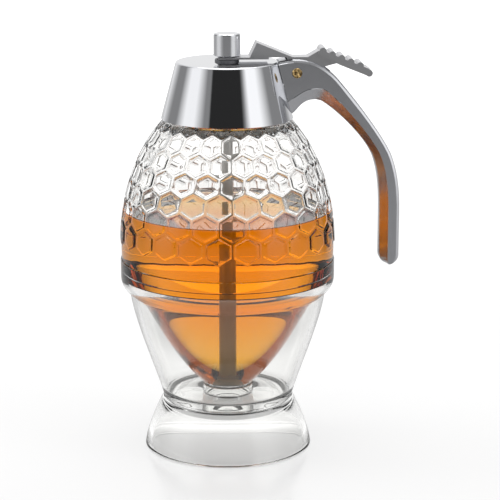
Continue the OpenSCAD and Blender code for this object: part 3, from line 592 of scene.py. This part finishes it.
def raisedLines(piece, side, width, rise):
    # A fine raised line where the handle's flat sides meet its slopes. Millimetres: side is how far both lie
    # from the middle plane
    mesh = piece.data
    normals = {}
    for face in mesh.polygons:
        for key in face.edge_keys:
            normals.setdefault(key, []).append(face.normal.copy())
    lines, corners = [], []
    for edge in mesh.edges:
        ends = [mesh.vertices[v].co for v in edge.vertices]
        tilt = math.degrees(normals[edge.key][0].angle(normals[edge.key][-1], 0))
        if min(abs(end.y) for end in ends) > (side - 0.02) / 1000 and 12 < tilt < 40:
            lines.append(edge)
            corners += [end.copy() for end in ends]
    editPicked(mesh, "EDGE", lines)
    bpy.ops.mesh.bevel(offset=width / 1000, segments=2, profile=1.0)
    bpy.ops.object.mode_set(mode="OBJECT")
    for vertex in mesh.vertices:
        if any((vertex.co - corner).length < 0.000004 for corner in corners):
            vertex.co.y += math.copysign(rise / 1000, vertex.co.y)


def softenedCopy(nodeName, name, casting):
    deselectAll()
    copy = bpy.data.objects.new(name, nodes[nodeName].data.copy())
    bpy.context.scene.collection.objects.link(copy)
    bpy.context.view_layer.objects.active = copy
    copy.select_set(True)
    bpy.ops.mesh.customdata_custom_splitnormals_clear()
    bpy.ops.object.mode_set(mode="EDIT")
    bpy.ops.mesh.select_all(action="SELECT")
    bpy.ops.mesh.remove_doubles(threshold=0.000005)
    bpy.ops.mesh.dissolve_limited(angle_limit=math.radians(0.6))
    bpy.ops.object.mode_set(mode="OBJECT")
    if "lineWidth" in casting:
        raisedLines(copy, casting["side"], casting["lineWidth"], casting["lineRise"])
    edges = copy.modifiers.new("brokenEdges", "BEVEL")
    edges.width = casting["width"] / 1000
    edges.segments = 3
    edges.limit_method = "ANGLE"
    edges.angle_limit = math.radians(casting["sharpest"])
    edges.use_clamp_overlap = True
    bpy.ops.object.modifier_apply(modifier="brokenEdges")
    bpy.ops.object.shade_smooth_by_angle(angle=math.radians(casting["smooth"]))
    even = copy.modifiers.new("evenShading", "WEIGHTED_NORMAL")
    even.keep_sharp = True
    bpy.ops.object.modifier_apply(modifier="evenShading")
    return copy


dress(softenedCopy("lever", "trigger", leverCasting), "satin_casting", "trigger", "lever")
dress(softenedCopy("handle", "handleCasting", handleCasting), "chromed_casting", "lid", "handle")
print("castings softened")


# Return spring: the CAD solid again, on a mesh of its own. Metres

coil = bpy.data.objects.new("returnSpring", nodes["return_spring"].data.copy())
bpy.context.scene.collection.objects.link(coil)
dress(coil, "stainless_steel", "lid", "return_spring")
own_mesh(coil)
print("spring fitted")


# Studio: a white table, a soft box on each side and a light panel above. Metres.
# The table and the surroundings have a brightness each for the camera, for what metal mirrors and for what clear
# pieces pass. The one that the camera sees rises to 1 between "near" and "far", so the table has no edge

studio = {"tableSize": (6.0, 6.0), "tableFront": -2.0, "tableColour": "#959595", "near": 0.5, "far": 1.3,
          "seenGlow": 0.58, "mirroredGlow": 0.13, "mirroredAbove": 1.15, "passedAbove": 0.35,
          "aim": (0, 0, 0.09)}

# A painted pool of light on the table, seen only through the dispenser's clear pieces: how strongly the table glows
# there, by metres behind it
tableGlow = [(0.0, 0.28), (0.03, 0.3), (0.06, 0.5), (0.12, 0.5), (0.16, 0.24), (0.3, 0.24), (0.5, 0.32),
             (0.8, 0.72), (1.5, 0.85)]


def makeFloor(s):
    deselectAll()
    width, depth = s["tableSize"]
    bpy.ops.mesh.primitive_plane_add(size=1, location=(0, s["tableFront"] + depth / 2, -0.0002))
    floor = bpy.context.object
    floor.name = "floor"
    floor.scale = (width, depth, 1)
    bpy.ops.object.transform_apply(location=True, scale=True)
    # Satin white board, flat: it mirrors the dispenser's foot softly. Behind the dispenser it carries a painted pool
    # of light that only the clear pieces pass
    material, tree, shader, where, _ = newMaterial("paleSweep", {
        "Base Color": linear(s["tableColour"]), "Roughness": 0.16, "IOR": 1.45})
    path = addNode(tree, "ShaderNodeLightPath")
    place = addNode(tree, "ShaderNodeSeparateXYZ", {}, {0: where})
    first, last = tableGlow[0][0], tableGlow[-1][0]
    behind = addNode(tree, "ShaderNodeMapRange", {"From Min": first, "From Max": last}, {"Value": place.outputs["Y"]})
    stops = [((y - first) / (last - first), grey(glow)) for y, glow in tableGlow]
    # painted pool of light on the table, by metres behind the dispenser
    pool = addNode(tree, "ShaderNodeValToRGB", {"stops": stops}, {"Fac": behind.outputs[0]})
    passed = addNode(tree, "ShaderNodeMath", {"operation": "MULTIPLY"},
                     {0: path.outputs["Is Transmission Ray"], 1: pool.outputs[0]})
    mirrored = addNode(tree, "ShaderNodeMath", {"operation": "MULTIPLY_ADD", 1: s["mirroredGlow"]},
                       {0: path.outputs["Is Glossy Ray"], 2: passed.outputs[0]})
    away = addNode(tree, "ShaderNodeVectorMath", {"operation": "LENGTH"}, {0: where})
    seen = addNode(tree, "ShaderNodeMapRange", {"From Min": s["near"], "From Max": s["far"], "To Min": s["seenGlow"]},
                   {"Value": away.outputs["Value"]})
    glow = addNode(tree, "ShaderNodeMath", {"operation": "MULTIPLY_ADD"},
                   {0: path.outputs["Is Camera Ray"], 1: seen.outputs[0], 2: mirrored.outputs[0]})
    tree.links.new(glow.outputs[0], shader.inputs["Emission Strength"])
    shader.inputs["Emission Color"].default_value = linear("#ffffff")
    floor.data.materials.append(material)


makeFloor(studio)

# Metres and watts
lamps = [
    {"name": "leftSoftbox", "place": (-1.39, 0.27, 0.75), "size": (0.7, 1.2), "power": 8, "mirrored": False},
    {"name": "rightSoftbox", "place": (1.2, -0.6, 0.7), "size": (0.6, 1.2), "power": 5, "mirrored": False},
    {"name": "topPanel", "place": (0.0, 0.1, 1.6), "size": (1.4, 1.4), "power": 9, "mirrored": True},
]
for lamp in lamps:
    bpy.ops.object.light_add(type="AREA", location=lamp["place"])
    light = bpy.context.object
    light.name = lamp["name"]
    light.data.shape = "RECTANGLE"
    light.data.size, light.data.size_y = lamp["size"]
    light.data.energy = lamp["power"]
    aim = Vector(studio["aim"]) - Vector(lamp["place"])
    light.rotation_euler = aim.to_track_quat("-Z", "Y").to_euler()
    light.visible_glossy = lamp["mirrored"]
    light.visible_transmission = False

# World: what stands round the table, in degrees from the front. Between two places the brightness runs evenly

bright = {"sweep": 0.95, "walls": 0.3, "leftBox": 1.25, "rightBox": 1.35, "curtain": 0.03,
          "passedSweep": 1.1, "passedWalls": 0.45, "fill": 0.55}
mirroredZones = [(-180, "sweep"), (-150, "sweep"), (-125, "walls"), (-105, "walls"), (-85, "leftBox"),
                 (-65, "leftBox"), (-45, "walls"), (-37, "walls"), (-34, "curtain"), (25, "curtain"), (30, "walls"),
                 (40, "rightBox"), (60, "rightBox"), (85, "walls"), (125, "walls"), (150, "sweep"), (180, "sweep")]
passedZones = [(-180, "passedSweep"), (-150, "passedSweep"), (-120, "passedWalls"), (120, "passedWalls"),
               (150, "passedSweep"), (180, "passedSweep")]
ceilingHeights = (0.5, 0.75)    # the sines of the elevations where the ceiling begins and has taken over

world = bpy.data.worlds.new("studioWorld")
bpy.context.scene.world = world
world.use_nodes = True
tree = world.node_tree
tree.nodes.clear()
where = addNode(tree, "ShaderNodeTexCoord")
turned = addNode(tree, "ShaderNodeMapping", {"Rotation": (0, 0, math.radians(90))},
                 {"Vector": where.outputs["Generated"]})
around = addNode(tree, "ShaderNodeTexGradient", {"gradient_type": "RADIAL"}, {"Vector": turned.outputs[0]})
path = addNode(tree, "ShaderNodeLightPath")
upward = addNode(tree, "ShaderNodeSeparateXYZ", {}, {0: where.outputs["Generated"]})
ceiling = addNode(tree, "ShaderNodeMapRange", {"From Min": ceilingHeights[0], "From Max": ceilingHeights[1]},
                  {"Value": upward.outputs["Z"]})
surroundings = []
for zones, above in ((mirroredZones, studio["mirroredAbove"]), (passedZones, studio["passedAbove"])):
    stops = [(azimuth / 360 + 0.5, grey(bright[what])) for azimuth, what in zones]
    level = addNode(tree, "ShaderNodeValToRGB", {"stops": stops}, {"Fac": around.outputs[1]})
    surroundings.append(addNode(tree, "ShaderNodeMix", {"data_type": "RGBA", 7: grey(above)},
                                {0: ceiling.outputs[0], 6: level.outputs[0]}))
mirrored, passed = surroundings
fill = addNode(tree, "ShaderNodeMix", {"data_type": "RGBA", 6: grey(bright["fill"])},
               {0: path.outputs["Is Glossy Ray"], 7: mirrored.outputs[2]})
lit = addNode(tree, "ShaderNodeMix", {"data_type": "RGBA"},
              {0: path.outputs["Is Transmission Ray"], 6: fill.outputs[2], 7: passed.outputs[2]})
shown = addNode(tree, "ShaderNodeMix", {"data_type": "RGBA", 7: grey(1)},
                {0: path.outputs["Is Camera Ray"], 6: lit.outputs[2]})
glow = addNode(tree, "ShaderNodeBackground", {"Strength": 1.0}, {"Color": shown.outputs[2]})
addNode(tree, "ShaderNodeOutputWorld", {}, {"Surface": glow.outputs[0]})

# Camera: the photograph's viewpoint, slightly above and in front

view = {"place": (-0.04475, -0.8789, 0.3096), "target": (0.0105, -0.00066, 0.0936), "lens": 139.4}
bpy.ops.object.camera_add(location=view["place"])
camera = bpy.context.object
camera.name = "camera"
camera.data.lens = view["lens"]
camera.data.sensor_width = 36
camera.data.clip_start, camera.data.clip_end = 0.01, 20
camera.rotation_euler = (Vector(view["target"]) - Vector(view["place"])).to_track_quat("-Z", "Y").to_euler()
bpy.context.scene.camera = camera
bpy.context.scene.view_settings.view_transform = "Standard"
print("studio set")
